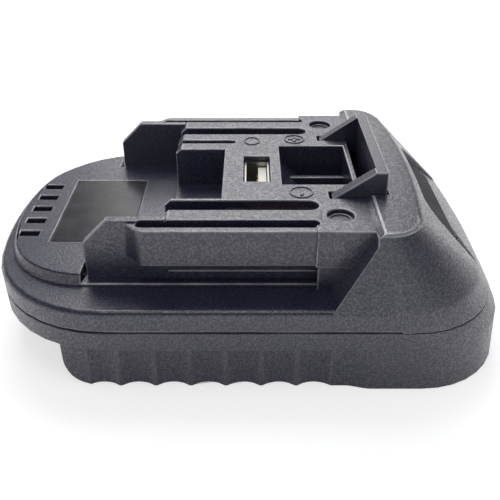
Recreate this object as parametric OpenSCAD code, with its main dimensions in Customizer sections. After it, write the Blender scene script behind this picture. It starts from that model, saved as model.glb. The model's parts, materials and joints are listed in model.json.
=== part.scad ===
// Slide-on battery adapter for a cordless tool.
// The tool slides onto the rails on top, a battery pack slides into the channel underneath.
// X runs along the slide with the nose at +X, Z is up, the origin is the middle of the footprint.

/* [Overall] */
// Length of the base from the bowed rear end to the nose front
body_len = 116; // [110:1:124]
// Width of the base across the rim
body_w = 76.4; // [74:0.2:84]
// Height of the skirt, which is the depth of the pack channel
skirt_h = 11; // [10:0.5:14]
// Height of the rim band on the lower moulding, up to the parting line
band_h = 4.5; // [4:0.1:6]
// Height of the rim on the upper moulding, from the parting line to the ledge
rim_h = 5.3; // [4.6:0.1:6.5]
// Height of the rear deck above the ledge
deck_h = 2.6; // [2.2:0.1:3.6]
// Height of the rail platform above the deck
platform_h = 12; // [11.5:0.1:14]
// Height of the nose crest above the platform
crest_h = 0.9; // [0.6:0.1:1.4]
// Wall thickness of both mouldings
wall = 2.2; // [1.8:0.1:2.6]

/* [Base outline] */
// Radius of the rear corners of the base
rear_r = 27; // [23:1:30]
// Radius of the bowed rear end of the base
rear_bow_r = 88; // [76:2:130]
// Radius of the front corners of the base
front_r = 20; // [16:1:24]
// Rounding of the rim's upper edge
rim_round = 1.2; // [0.8:0.1:1.6]
// Depth of the shadow gap at the parting line
seam_depth = 0.35; // [0.2:0.05:0.6]
// Height of the shadow gap at the parting line
seam_h = 0.4; // [0.2:0.1:0.6]
// Distance from the nose front back to the end of the shadow gap
seam_setback = 27; // [18:0.5:30]

/* [Deck] */
// Width of the deck and its plinth
deck_w = 56.6; // [54:0.2:60]
// Distance from the rear end of the base to the rear end of the deck
deck_setback = 2.6; // [2:0.1:5]
// Radius of the deck's rear corners
deck_r = 18.5; // [15:0.5:21]
// Radius of the deck's bowed rear end
deck_bow_r = 53.5; // [46:0.5:80]
// Rounding of the deck's upper edge
deck_round = 0.6; // [0.3:0.1:1]
// Number of vent slots at the rear of the deck
vent_count = 5; // [3:1:5]
// Spacing of the vent slots
vent_pitch = 5.8; // [5:0.1:6]
// Width of one vent slot
vent_w = 2.3; // [1.8:0.1:2.8]
// Length of one vent slot
vent_len = 4.5; // [4:0.1:5.5]
// Distance from the deck's rear end to the vent slots
vent_setback = 2.3; // [2.2:0.1:3.2]
// Length of the label recess along the slide
label_len = 18.2; // [14:0.2:19]
// Width of the label recess
label_w = 30.4; // [24:0.2:34]
// Distance from the deck's rear end to the label recess
label_setback = 10.1; // [9.6:0.1:11]
// Depth of the label recess
label_recess = 0.4; // [0.3:0.05:0.6]

/* [Tool rails] */
// Length of the nose from the end of the rail pads to the front
nose_len = 33.2; // [32:0.2:37]
// Length of the platform from its rear end to the end of the rail pads
platform_len = 43.1; // [42:0.1:46]
// Chamfer on the platform's upper rear edge
platform_chamfer = 1.4; // [0.8:0.1:1.8]
// Distance from the middle of a terminal slot to the side of the platform's core
slot_side = 6.4; // [6:0.1:7]
// Reach of the rail flanges beyond the core
rail_reach = 3.9; // [3.6:0.1:4.4]
// Step of the screw pads beyond the rail flanges
pad_step = 0.7; // [0.4:0.1:1]
// Length of the screw pads along the slide
pad_len = 11.5; // [11:0.1:13]
// Drop of the rail flanges below the platform's top
lip_drop = 0.4; // [0.3:0.1:0.8]
// Height from the platform's top to the underside of the rail flanges
rail_under = 8.7; // [8:0.1:9.2]
// Length of the cheek walls behind the platform
cheek_len = 16.3; // [14:0.1:18]
// Thickness of the cheek walls
cheek_t = 2; // [1.6:0.1:2.4]
// Size of the chamfer on the cheeks' upper rear corners
cheek_chamfer = 5.3; // [4:0.1:6.5]
// Width of the relief groove along each rail flange
relief_w = 2.3; // [1.8:0.1:2.6]
// Width of the lip outside the relief groove
rail_lip = 1.8; // [1.4:0.1:2]
// Depth of the relief groove
relief_depth = 6; // [4:0.1:6.5]
// Spacing between the two terminal slots
slot_spacing = 40; // [39:0.1:41]
// Width of a terminal slot
slot_w = 4.1; // [3.6:0.1:4.4]
// Distance from the end of the pads back to the front end of the terminal slots
slot_gap = 10.3; // [10:0.1:12]
// Depth of the terminal slots where they open through the platform's rear
slot_depth = 8; // [7:0.1:9]
// Distance of the signal slot from the middle
signal_y = 13.1; // [12:0.1:14]
// Width of the signal slot
signal_w = 1.9; // [1.5:0.1:2.2]
// Length of the signal slot
signal_len = 14.7; // [12:0.1:16]
// Length of the connector bay at the platform's rear
bay_len = 12.1; // [11:0.1:12.6]
// Width of the connector bay
bay_w = 25.5; // [24:0.1:26]
// Offset of the connector bay's middle across the slide
bay_y = -4.3; // [-5:0.1:-3.6]
// Depth of the connector bay
bay_depth = 9.7; // [9:0.1:10.4]
// Length of the catch pocket in front of the socket
pocket_len = 15.8; // [14:0.1:16]
// Width of the catch pocket
pocket_w = 21; // [19:0.2:22]
// Depth of the catch pocket
pocket_depth = 8.4; // [7:0.1:8.8]
// Wall between the catch pocket and the latch opening
pocket_wall = 1.2; // [1:0.1:1.5]
// Distance of the rib on the pocket's floor from the middle
pocket_rib_y = 5.6; // [4:0.1:6.5]
// Thickness of the rib on the pocket's floor
pocket_rib_t = 1.4; // [1:0.1:1.8]
// Height of the rib on the pocket's floor
pocket_rib_h = 2.4; // [1.5:0.1:3]
// Wall of the bay and pocket tubs
tub_wall = 1.4; // [1.2:0.1:1.6]

/* [Nose] */
// Slope of the nose front from the horizontal
front_slope = 45; // [43:0.5:47]
// Length of the crest from the end of the rail pads to its front edge
crest_len = 11.4; // [11:0.1:13]
// Width across the nose's shoulders at the crest
shoulder_w = 67; // [65:0.2:69]
// Corner radius of the crest
crest_r = 8; // [6:0.5:9]
// Radius of the bowed front
front_bow_r = 184; // [150:2:240]
// Height of the bend at the foot of the front slope
bend_z = 21.4; // [21:0.1:23]
// Height of the bend above the upright front
shin_z = 11.4; // [8:0.1:12]
// Lean of the upright front, over its height
shin_lean = 1; // [0.6:0.1:1.6]
// Lean of the wall that ends the rail channels, from the horizontal
stop_slope = 58; // [54:1:62]
// Distance from the crest's front edge to the thumb scoop
scoop_setback = 2; // [1:0.1:2.6]
// Width of the thumb scoop at its upper end
scoop_w = 34; // [32:0.2:36]
// Angle by which each side of the thumb scoop spreads towards its foot
scoop_spread = 17; // [12:1:20]
// Corner radius of the thumb scoop
scoop_r = 5; // [4:0.5:6]
// Depth of the thumb scoop at its upper end
scoop_depth = 3.2; // [2.6:0.1:3.6]
// Slope of the thumb scoop's floor from the horizontal
scoop_slope = 41; // [40:0.5:42]

/* [Latch] */
// Height of the hook above the platform
hook_h = 5.8; // [5.2:0.1:6.2]
// Travel of the latch when the button is pressed
latch_travel = 6; // [5.9:0.1:6.4]
// Width across the hook's two ramps
hook_w = 33.6; // [32:0.2:35]
// Thickness of one ramp
ramp_t = 2.6; // [2:0.1:3]
// Length of the ramps along the slide
ramp_len = 9.1; // [8:0.1:9.4]
// Thickness of the hook's rear wall
hook_wall = 2.5; // [2:0.1:2.8]
// Running clearance round the latch and the button
latch_gap = 0.3; // [0.25:0.05:0.4]
// Width of the release button
button_w = 30; // [26:0.5:31]
// Length of the release button along the slide
button_len = 7.6; // [6.4:0.1:8]
// Thickness of the plate that joins hook and button
yoke_t = 2; // [1.8:0.1:2.4]
// Outer diameter of the latch springs
spring_d = 6; // [5.4:0.1:6.4]
// Wire diameter of the latch springs
spring_wire = 0.8; // [0.6:0.05:0.9]
// Number of turns of one latch spring
spring_turns = 7; // [5:1:8]
// Spacing between the two latch springs
spring_spacing = 18; // [16:0.5:19]

/* [Pack channel] */
// Width of the pack channel
channel_w = 60; // [58:0.2:61]
// Distance from the rear end of the base to the rear end of the skirt
skirt_setback = 17.5; // [16:0.1:22]
// Distance from the nose front back to the channel's stop
stop_setback = 38; // [37:0.5:40]
// How far the pack rails reach into the channel
pack_rail_in = 3.8; // [3:0.1:4.4]
// Height of the pack rails above the bottom
pack_rail_z = 1; // [0.6:0.1:1.4]
// Thickness of the pack rails
pack_rail_t = 3; // [2.4:0.1:3.4]
// Step from the rim band in to the grip
grip_step = 1.1; // [0.8:0.1:1.4]
// Number of grip ridges along one side
ridge_count = 8; // [5:1:8]
// Spacing of the grip ridges
ridge_pitch = 7.6; // [6.6:0.1:8]
// Depth of the flutes between the grip ridges
flute_depth = 1.1; // [0.7:0.1:1.3]
// Rounding under the skirt's rear end
skirt_round = 5.2; // [3.5:0.1:6]

/* [Electrics] */
// Thickness of the circuit board
board_t = 1.6; // [1:0.1:2]
// Length of the circuit board
board_len = 53.5; // [48:0.5:54]
// Reach of the circuit board beyond the middle of the terminal slots
board_side = 3.5; // [3:0.1:4]
// Distance from the end of the pads back to the middle of the charging socket
usb_setback = 23.2; // [22.6:0.1:23.8]
// Offset of the charging socket across the slide
usb_y = -2.3; // [-3:0.1:-1.6]
// Outer width of the charging socket's shell
usb_w = 13.1; // [12.8:0.1:13.4]
// Outer thickness of the charging socket's shell
usb_t = 5.7; // [5.4:0.1:6]
// Sheet thickness of the charging socket's shell
usb_sheet = 0.4; // [0.3:0.05:0.5]
// Clearance round the charging socket
usb_gap = 0.2; // [0.15:0.05:0.3]
// Depth of the socket's rim below the platform's top
usb_sink = 1.4; // [0.8:0.1:1.8]
// Thickness of the sheet in the terminal clips
clip_sheet = 0.6; // [0.5:0.05:0.8]
// Length of a terminal clip along the slide
clip_len = 12; // [10:0.5:13]
// Thickness of the contact blades in the pack channel
blade_t = 0.8; // [0.6:0.1:1]
// Height of the contact blades
blade_h = 5; // [4:0.1:5.4]
// Length of the contact blades in front of their carrier
blade_reach = 14; // [10:0.5:16]
// Spacing of the outer contact blades
blade_spacing = 28; // [24:0.5:30]
// Spacing of the inner contact blades
sense_spacing = 10; // [8:0.5:14]
// Clearance round the blades in their carrier and the floor
blade_gap = 0.15; // [0.1:0.05:0.25]

/* [Fasteners] */
// Shank diameter of the case screws
screw_d = 2.6; // [2.2:0.1:3]
// Head diameter of the case screws
screw_head_d = 5.2; // [4.8:0.1:5.4]
// Head height of the case screws
screw_head_h = 1.8; // [1.4:0.1:2.2]
// Diameter of the screw recesses in the pads
screw_recess_d = 5.6; // [5.5:0.1:6]
// Depth of the screw caps below the pads
cap_sink = 0.9; // [0.6:0.1:1.4]
// Thickness of the screw caps
cap_t = 1.2; // [0.8:0.1:1.6]
// Clearance round the screw caps
cap_gap = 0.1; // [0.05:0.05:0.2]
// Spacing of the two pad screws
pad_screw_spacing = 48.8; // [48:0.1:49.4]
// Distance from the end of the pads back to the pad screws
pad_screw_back = 6.2; // [5.8:0.1:6.6]
// Spacing of the two rear screws
rear_screw_spacing = 34; // [32:0.5:36]
// Distance from the rear end of the base to the rear screws
rear_screw_setback = 12; // [11.6:0.1:13]
// Outer diameter of the screw bosses
boss_d = 7; // [6.4:0.1:7.2]
// Clearance round the screw shanks in their bosses
shank_gap = 0.15; // [0.1:0.05:0.25]

/* [Hidden] */

$fn = 48;
// Overlap that joins solids and lets cuts run clear
eps = 0.01;
run = 1;
// Steps in a quarter-round edge and in one corner of a loft ring
round_steps = 4;
corner_steps = 8;
bow_steps = 6;

// Heights
parting_z = skirt_h + band_h;
ledge_z = parting_z + rim_h;
deck_z = ledge_z + deck_h;
top_z = deck_z + platform_h;
crest_z = top_z + crest_h;
floor_z = skirt_h + wall;
lip_z = top_z - lip_drop;
rail_z = top_z - rail_under;
// Widths across the rails and of the board
core_w = slot_spacing + 2 * slot_side;
rail_w = core_w + 2 * rail_reach;
pad_w = rail_w + 2 * pad_step;
board_w = slot_spacing + 2 * board_side;
// Places along the slide
x_front = body_len / 2;
x_rear = -body_len / 2;
pad_end_x = x_front - nose_len;
platform_x = pad_end_x - platform_len;
cheek_x = platform_x - cheek_len;
deck_x = x_rear + deck_setback;
pad_x = pad_end_x - pad_len;
slot_end_x = pad_end_x - slot_gap;
skirt_x = x_rear + skirt_setback;
stop_x = x_front - stop_setback;
label_x = deck_x + label_setback;
// The notch in the deck lies just behind the cheek walls
notch_gap = 1;
groove_x = cheek_x - notch_gap;
// The rail groove ends just under the pads
pad_cover = 0.6;
groove_end_x = pad_x + pad_cover;
seam_end_x = x_front - seam_setback;

function half(w) = w / 2;

// Points along an arc about centre c, with both ends or without them
function arc(c, r, a, b, n) =
    [for (i = [0:n]) let (t = a + (b - a) * i / n) c + r * [cos(t), sin(t)]];
function inner_arc(c, r, a, b, n) =
    [for (i = [1:n - 1]) let (t = a + (b - a) * i / n) c + r * [cos(t), sin(t)]];

// Bowed end that faces +X: two round corners joined by a large arc, inset by d
function bowed_end(x, hw, r, r_bow, d) =
    let (
        yc = hw - r,
        xb = x - r_bow,
        xc = xb + sqrt(pow(r_bow - r, 2) - yc * yc),
        turn = asin(yc / (r_bow - r))
    )
    concat(
        arc([xc, -yc], r - d, -90, -turn, corner_steps),
        inner_arc([xb, 0], r_bow - d, -turn, turn, bow_steps),
        arc([xc, yc], r - d, turn, 90, corner_steps)
    );
function turned(points) = [for (p = points) -p];

// Outline of the base with its front end at x1, and of the deck, inset by d
function base_outline(d, x1) = concat(
    bowed_end(x1, half(body_w), front_r, front_bow_r, d),
    turned(bowed_end(-x_rear, half(body_w), rear_r, rear_bow_r, d))
);
function deck_outline(d) = concat(
    [[pad_end_x, d - half(deck_w)], [pad_end_x, half(deck_w) - d]],
    turned(bowed_end(-deck_x, half(deck_w), deck_r, deck_bow_r, d))
);

// Solid through a stack of rings, each [height, outline] with as many points
module loft(rings) {
    n = len(rings[0][1]);
    m = len(rings);
    polyhedron(
        points = [for (r = rings) for (p = r[1]) [p[0], p[1], r[0]]],
        faces = concat(
            [[for (i = [0:n - 1]) i]],
            [[for (i = [0:n - 1]) m * n - 1 - i]],
            [for (k = [0:m - 2]) for (i = [0:n - 1]) let (j = (i + 1) % n)
                [k * n + i, (k + 1) * n + i, (k + 1) * n + j]],
            [for (k = [0:m - 2]) for (i = [0:n - 1]) let (j = (i + 1) % n)
                [k * n + i, (k + 1) * n + j, k * n + j]]
        ),
        convexity = 4
    );
}

// Block between two corners
module block(a, b) {
    translate(a) cube(b - a);
}

// Outline in X and Z, extruded across the slide
module across(points, w) {
    translate([0, half(w), 0]) rotate([90, 0, 0]) linear_extrude(w) polygon(points);
}

// Slot with round ends along the slide, cut down from z1 to z0
module long_slot(x0, x1, y, w, z0, z1) {
    block([x0 + half(w), y - half(w), z0], [x1 - half(w), y + half(w), z1]);
    for (x = [x0 + half(w), x1 - half(w)]) translate([x, y, z0]) cylinder(d = w, h = z1 - z0);
}

module both_sides() {
    children();
    mirror([0, 1, 0]) children();
}

// Nose form: a flat crest, a sloping front and flanks that widen to the rim
crest_x1 = pad_end_x + crest_len;
bend_x = crest_x1 + (crest_z - bend_z) / tan(front_slope);
shin_x = x_front - shin_lean;
crest_edge = 0.4;
// The crest ramps up from the pads over this length
crest_ramp = 1.4;
// The wall that ends the rail grooves starts this far below the platform
stop_drop = 2;
flank_drop = 1.9;
flank_z = bend_z - flank_drop;
nose_steps = 6;
function front_x(z) =
    z > bend_z ? crest_x1 + (crest_z - z) / tan(front_slope)
    : z > shin_z ? bend_x + (shin_x - bend_x) * (bend_z - z) / (bend_z - shin_z)
    : shin_x + shin_lean * (shin_z - z) / shin_z;
function flank(z) = min(1, (crest_z - z) / (crest_z - flank_z));
function nose_half(z) = half(shoulder_w) + half(body_w - shoulder_w) * flank(z);
// Room for a corner between the nose's rear edge and its bowed front
function corner_room(z) =
    front_x(z) - nose_rear(z) - pow(nose_half(z), 2) / (2 * front_bow_r) - crest_edge;
function nose_corner(z) = min(corner_room(z), crest_r + (front_r - crest_r) * flank(z));
function nose_rear(z) =
    z > top_z ? pad_end_x + crest_ramp * (z - top_z) / crest_h
    : pad_end_x - max(0, top_z - stop_drop - z) / tan(stop_slope);
function nose_outline(z, d) = concat(
    bowed_end(front_x(z), nose_half(z), nose_corner(z), front_bow_r, d),
    [[nose_rear(z), nose_half(z) - d], [nose_rear(z), d - nose_half(z)]]
);

module nose_form() {
    z_edge = crest_z - crest_edge;
    loft(concat(
        [for (z = [parting_z, flank_z]) [z, nose_outline(z, 0)]],
        [for (i = [0:nose_steps - 1]) let (z = bend_z + (top_z - stop_drop - bend_z) * i / nose_steps)
            [z, nose_outline(z, 0)]],
        [for (z = [top_z - stop_drop, top_z, z_edge]) [z, nose_outline(z, 0)]],
        [[crest_z, nose_outline(crest_z, crest_edge)]]
    ));
}

// Height of the sloping front and of the scoop's floor at x
function front_z(x) = crest_z - (x - crest_x1) * tan(front_slope);
scoop_x = crest_x1 + scoop_setback;
function scoop_z(x) = front_z(scoop_x) - scoop_depth - (x - scoop_x) * tan(scoop_slope);

// Thumb scoop: deepest at its upper end, spreading and running out at the foot of the slope
scoop_corner_y = half(scoop_w) - scoop_r * (1 - sin(scoop_spread)) / cos(scoop_spread);
scoop_corner = arc([scoop_x + scoop_r, scoop_corner_y], scoop_r, 90 + scoop_spread, 180, corner_steps);

module scoop_cut() {
    x_end = x_front + run;
    y_end = half(scoop_w) + (x_end - scoop_x) * tan(scoop_spread);
    intersection() {
        across([[scoop_x, crest_z + run], [scoop_x, scoop_z(scoop_x)], [x_end, scoop_z(x_end)],
                [x_end, crest_z + run]], body_w);
        linear_extrude(crest_z + run) polygon(concat(
            [[x_end, y_end]], scoop_corner,
            [for (i = [corner_steps:-1:0]) [scoop_corner[i][0], -scoop_corner[i][1]]],
            [[x_end, -y_end]]
        ));
    }
}

// Nose cavity: a roof under the crest, then a slope under the scoop
roof_extra = 0.2;
roof_crest_z = crest_z - wall - roof_extra;
cavity_overlap = 0.3;
cavity_rear_x = pad_end_x - cavity_overlap;
roof_x = scoop_x - wall;
function roof_z(x) = scoop_z(x) - wall / cos(scoop_slope);
cavity_front_x = bend_x - wall;
hook_side = 1.4;
nose_cavity_w = hook_w + 2 * hook_side;
// Wider hollow behind the nose's shoulders
shoulder_cavity_w = shoulder_w - 2.2 * wall;
shoulder_cavity_z = top_z - rail_under;
shoulder_cavity_back = 0.5;
shoulder_cavity_x = crest_x1 - shoulder_cavity_back;

// Latch places
hook_setback = 2;
hook_x0 = pad_end_x + hook_setback;
hook_x1 = hook_x0 + hook_wall;
hook_z = top_z + hook_h;
ramp_x0 = hook_x0 - ramp_len;
ramp_deep = 3.2;
latch_room = 1;
latch_rear_x = ramp_x0 - 2 * latch_gap;
button_setback = 0.8;
button_x0 = scoop_x + button_setback;
button_x1 = button_x0 + button_len;
// The button's face stands this far above the scoop's floor
button_proud = 0.6;
// The yoke hangs clear below the nose roof at the button's front
roof_gap = 0.7;
yoke_top = roof_z(button_x1 + latch_gap) - roof_gap;
yoke_z = yoke_top - yoke_t;
spring_x = half(button_x0 + button_x1);
spring_peg_h = 1.6;
spring_seat_z = wall;
spring_inner_d = spring_d - 2 * spring_wire;

module nose_cavity() {
    across([
        [cavity_rear_x, parting_z - run], [cavity_rear_x, roof_crest_z], [roof_x, roof_crest_z],
        [roof_x, roof_z(roof_x)], [cavity_front_x, roof_z(cavity_front_x)], [cavity_front_x, parting_z - run]
    ], nose_cavity_w);
    block([pad_end_x + wall, -half(shoulder_cavity_w), parting_z - run],
          [shoulder_cavity_x, half(shoulder_cavity_w), shoulder_cavity_z]);
}

// Upper moulding
rail_rear = 7.9;
rail_rear_x = platform_x - rail_rear;
// The rails swing out from the cheeks over this length
rail_run_in = 4.5;
rail_steps = 6;
relief_rear = 4.8;
relief_end = 1;
groove_floor = 0.6;
deck_foot = 0.7;
foot_h = 0.3;
cheek_out = 0.4;
cheek_y = half(core_w) + cheek_out;
cavity_half = half(core_w) - wall;
notch_in = 1.2;
notch_y = cheek_y - cheek_t - notch_in;
rim_back = 2;

module rim_form() {
    x1 = bend_x - rim_back;
    loft(concat(
        [[parting_z, base_outline(seam_depth, x1)], [parting_z + seam_h, base_outline(seam_depth, x1)]],
        [[parting_z + seam_h, base_outline(0, x1)]],
        [for (i = [0:round_steps]) let (t = 90 * i / round_steps)
            [ledge_z - rim_round + rim_round * sin(t), base_outline(rim_round * (1 - cos(t)), x1)]]
    ));
}

module deck_form() {
    difference() {
        loft(concat(
            [[ledge_z - run, deck_outline(-deck_foot)], [ledge_z + foot_h, deck_outline(-deck_foot)]],
            [for (i = [0:round_steps]) let (t = 90 * i / round_steps)
                [deck_z - deck_round + deck_round * sin(t), deck_outline(deck_round * (1 - cos(t)))]]
        ));
        both_sides() {
            block([groove_x, notch_y, ledge_z + groove_floor], [cheek_x + eps, half(body_w), deck_z + run]);
            block([cheek_x, cheek_y - eps, ledge_z + groove_floor],
                  [pad_end_x + run, half(body_w), deck_z + run]);
        }
    }
}

module platform_form() {
    across([
        [platform_x, ledge_z - run], [pad_end_x + run, ledge_z - run], [pad_end_x + run, top_z],
        [platform_x + platform_chamfer, top_z], [platform_x, top_z - platform_chamfer]
    ], core_w);
    both_sides() {
        translate([0, 0, rail_z]) linear_extrude(lip_z - rail_z) polygon(concat(
            [[rail_rear_x, half(core_w) - run]],
            [for (i = [0:rail_steps]) let (t = i / rail_steps)
                [rail_rear_x + rail_run_in * t, cheek_y + (half(rail_w) - cheek_y) * half(1 - cos(180 * t))]],
            [[pad_end_x + run, half(rail_w)], [pad_end_x + run, half(core_w) - run]]
        ));
        block([pad_x, half(core_w) - run, rail_z], [pad_end_x + run, half(pad_w), top_z]);
        block([groove_end_x, half(core_w) - run, ledge_z - run],
              [pad_end_x + run, half(rail_w), rail_z + run]);
        translate([0, cheek_y - half(cheek_t), 0]) across([
            [cheek_x, ledge_z - run], [platform_x + run, ledge_z - run], [platform_x + run, top_z],
            [cheek_x + cheek_chamfer, top_z], [cheek_x, top_z - cheek_chamfer]
        ], cheek_t);
    }
}

module upper_cavity() {
    translate([0, 0, parting_z - run]) linear_extrude(ledge_z - wall - parting_z + run)
        polygon(base_outline(wall + seam_depth, front_x(parting_z)));
    translate([0, 0, parting_z - run]) linear_extrude(deck_z - wall - parting_z + run)
        intersection() {
            polygon(deck_outline(wall));
            square([2 * body_len, 2 * (notch_y - wall)], center = true);
        }
    block([platform_x + wall, -cavity_half, parting_z - run],
          [cavity_rear_x - wall, cavity_half, top_z - wall]);
    nose_cavity();
}

// Tubs that keep the connector bay and the catch pocket closed towards the inside
pocket_setback = 1.8;
pocket_x1 = pad_end_x - pocket_setback;
pocket_x0 = pocket_x1 - pocket_len;
// The pocket's rear floor ramps down to its full depth
pocket_ramp = [5.5, 3.6];

module tubs() {
    block([platform_x, bay_y - half(bay_w) - tub_wall, top_z - bay_depth - tub_wall],
          [platform_x + bay_len + tub_wall, bay_y + half(bay_w) + tub_wall, top_z - half(wall)]);
    block([pocket_x0 - tub_wall, -half(pocket_w) - tub_wall, top_z - pocket_depth - tub_wall],
          [pocket_x1 + pocket_wall, half(pocket_w) + tub_wall, top_z - half(wall)]);
}

module bay_cut() {
    block([platform_x - run, bay_y - half(bay_w), top_z - bay_depth],
          [platform_x + bay_len, bay_y + half(bay_w), top_z + run]);
}

module pocket_cut() {
    low_z = top_z - pocket_depth;
    difference() {
        across([
            [pocket_x0, top_z + run], [pocket_x0, top_z - pocket_ramp[1]],
            [pocket_x0 + pocket_ramp[0], low_z], [pocket_x1, low_z], [pocket_x1, top_z + run]
        ], pocket_w);
        block([pocket_x0 - run, pocket_rib_y - half(pocket_rib_t), low_z - run],
              [pocket_x1 + run, pocket_rib_y + half(pocket_rib_t), low_z + pocket_rib_h]);
    }
}

module rail_cuts() {
    both_sides() {
        block([platform_x - run, half(slot_spacing) - half(slot_w), top_z - slot_depth],
              [slot_end_x - half(slot_w), half(slot_spacing) + half(slot_w), top_z + run]);
        translate([slot_end_x - half(slot_w), half(slot_spacing), top_z - slot_depth])
            cylinder(d = slot_w, h = slot_depth + run);
        long_slot(platform_x - relief_rear, groove_end_x + half(relief_w) - relief_end,
                  half(rail_w) - rail_lip - half(relief_w), relief_w, top_z - relief_depth, top_z + run);
    }
    long_slot(platform_x - run, platform_x + signal_len, signal_y, signal_w, top_z - slot_depth, top_z + run);
}

module deck_cuts() {
    for (i = [0:vent_count - 1]) {
        y = (i - half(vent_count - 1)) * vent_pitch;
        block([deck_x + vent_setback, y - half(vent_w), deck_z - wall - run],
              [deck_x + vent_setback + vent_len, y + half(vent_w), deck_z + run]);
    }
    block([label_x, -half(label_w), deck_z - label_recess],
          [label_x + label_len, half(label_w), deck_z + run]);
}

// U-shaped opening in the top for the hook, upright opening in the scoop for the button
module latch_cuts() {
    deep = ramp_deep + latch_travel + latch_room;
    both_sides() block([latch_rear_x, half(hook_w) - ramp_t - latch_gap, top_z - deep],
                       [hook_x1 + latch_gap, half(hook_w) + latch_gap, crest_z + run]);
    block([pocket_x1 + pocket_wall, -half(hook_w) - latch_gap, top_z - deep],
          [hook_x1 + latch_gap, half(hook_w) + latch_gap, crest_z + run]);
    block([button_x0 - latch_gap, -half(button_w) - latch_gap, parting_z],
          [button_x1 + latch_gap, half(button_w) + latch_gap, crest_z + run]);
}

// Screw places
pad_screw_x = pad_end_x - pad_screw_back;
rear_screw_x = x_rear + rear_screw_setback;
cap_z = top_z - cap_sink - cap_t;
pad_head_z = cap_z - screw_head_h;
boss_rise = 1.4;
boss_split_z = parting_z + boss_rise;
rear_head_z = skirt_h;
tip_gap = 0.4;
rear_tip_z = deck_z - wall - tip_gap;

module at_pad_screws() {
    for (s = [-1, 1]) translate([pad_screw_x, s * half(pad_screw_spacing), 0]) children();
}

module at_rear_screws() {
    for (s = [-1, 1]) translate([rear_screw_x, s * half(rear_screw_spacing), 0]) children();
}

module upper_bosses() {
    at_pad_screws() translate([0, 0, boss_split_z])
        cylinder(d = boss_d, h = top_z - half(wall) - boss_split_z);
    at_rear_screws() translate([0, 0, boss_split_z])
        cylinder(d = boss_d, h = deck_z - half(wall) - boss_split_z);
}

module upper_screw_cuts() {
    at_pad_screws() {
        translate([0, 0, pad_head_z]) cylinder(d = screw_recess_d, h = top_z);
        translate([0, 0, parting_z - run]) cylinder(d = screw_d + 2 * shank_gap, h = top_z - parting_z);
    }
    at_rear_screws() translate([0, 0, parting_z - run])
        cylinder(d = screw_d + 2 * shank_gap, h = rear_tip_z - parting_z + run);
}

// Shadow gap along the flanks of the nose
module seam_cut() {
    difference() {
        block([nose_rear(parting_z) - run, -body_w, parting_z - run],
              [seam_end_x, body_w, parting_z + seam_h]);
        translate([0, 0, parting_z - 2 * run]) linear_extrude(seam_h + 3 * run)
            polygon(base_outline(seam_depth, front_x(parting_z)));
    }
}

module usb_cut() {
    translate([usb_x, usb_y, top_z - half(wall)])
        cube([usb_t + 2 * usb_gap, usb_w + 2 * usb_gap, 4 * wall], center = true);
}

module upper_housing() {
    color("#26272b") difference() {
        union() {
            difference() {
                union() {
                    rim_form();
                    deck_form();
                    platform_form();
                    nose_form();
                }
                upper_cavity();
            }
            tubs();
            upper_bosses();
        }
        bay_cut();
        pocket_cut();
        rail_cuts();
        deck_cuts();
        scoop_cut();
        latch_cuts();
        upper_screw_cuts();
        usb_cut();
        seam_cut();
    }
}

// Lower moulding
first_ridge = 4.9;
grip_over = 2.3;
grip_end_x = skirt_x + first_ridge + ridge_pitch * (ridge_count - 1) + grip_over;
grip_fade = 6.4;
grip_steps = 6;
ridge_land = 0.3;
flute_half = half(ridge_pitch) - ridge_land;
flute_r = (flute_half * flute_half + flute_depth * flute_depth) / (2 * flute_depth);
lower_wall = wall + seam_depth;
well_x = stop_x + 2 * wall;
pack_rail_stop = 6;
// Plastic left under the blind screw holes
hole_floor = 0.6;
post_floor = 0.2;
peg_gap = 0.3;

// Inset of the grip past its end, fading out towards the nose
function grip_inset(i) = grip_step * half(1 + cos(180 * i / grip_steps));

module lower_form() {
    translate([0, 0, skirt_h]) loft([
        for (z = [skirt_h, shin_z, parting_z]) [z - skirt_h, base_outline(0, front_x(z))]]);
    intersection() {
        linear_extrude(skirt_h + eps) polygon(base_outline(grip_step, x_front));
        block([skirt_x, -body_w, -run], [grip_end_x + eps, body_w, top_z]);
    }
    difference() {
        intersection() {
            loft([for (z = [0, skirt_h + eps]) [z, base_outline(0, front_x(z))]]);
            block([grip_end_x, -body_w, -run], [x_front + run, body_w, top_z]);
        }
        both_sides() translate([0, 0, -run]) linear_extrude(skirt_h + run) polygon(concat(
            [for (i = [0:grip_steps])
                [grip_end_x + grip_fade * i / grip_steps, half(body_w) - grip_inset(i)]],
            [[grip_end_x + grip_fade, body_w], [grip_end_x - run, body_w],
             [grip_end_x - run, half(body_w) - grip_step]]
        ));
    }
}

module grip_flutes() {
    both_sides() for (i = [0:ridge_count - 2]) translate([
        skirt_x + first_ridge + ridge_pitch * (i + 0.5),
        half(body_w) - grip_step - flute_depth + flute_r, -run
    ]) cylinder(r = flute_r, h = skirt_h + run);
}

module pack_channel() {
    block([skirt_x - run, -half(channel_w), -run], [stop_x, half(channel_w), skirt_h]);
    across(concat(
        [[skirt_x - run, -run], [skirt_x + skirt_round, -run]],
        arc([skirt_x + skirt_round, skirt_round], skirt_round, 270, 180, corner_steps),
        [[skirt_x - run, skirt_round]]
    ), body_w);
}

module pack_rails() {
    both_sides() block([skirt_x + skirt_round, half(channel_w) - pack_rail_in, pack_rail_z],
                       [stop_x - pack_rail_stop, half(channel_w) + run, pack_rail_z + pack_rail_t]);
}

// Hollow of the lower moulding: a shallow tray, and a well under the latch
module lower_hollow() {
    inside = base_outline(lower_wall, front_x(parting_z));
    translate([0, 0, floor_z]) linear_extrude(parting_z) polygon(inside);
    translate([0, 0, wall]) linear_extrude(parting_z) intersection() {
        polygon(inside);
        translate([well_x, -half(nose_cavity_w)]) square([x_front, nose_cavity_w]);
    }
}

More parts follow.
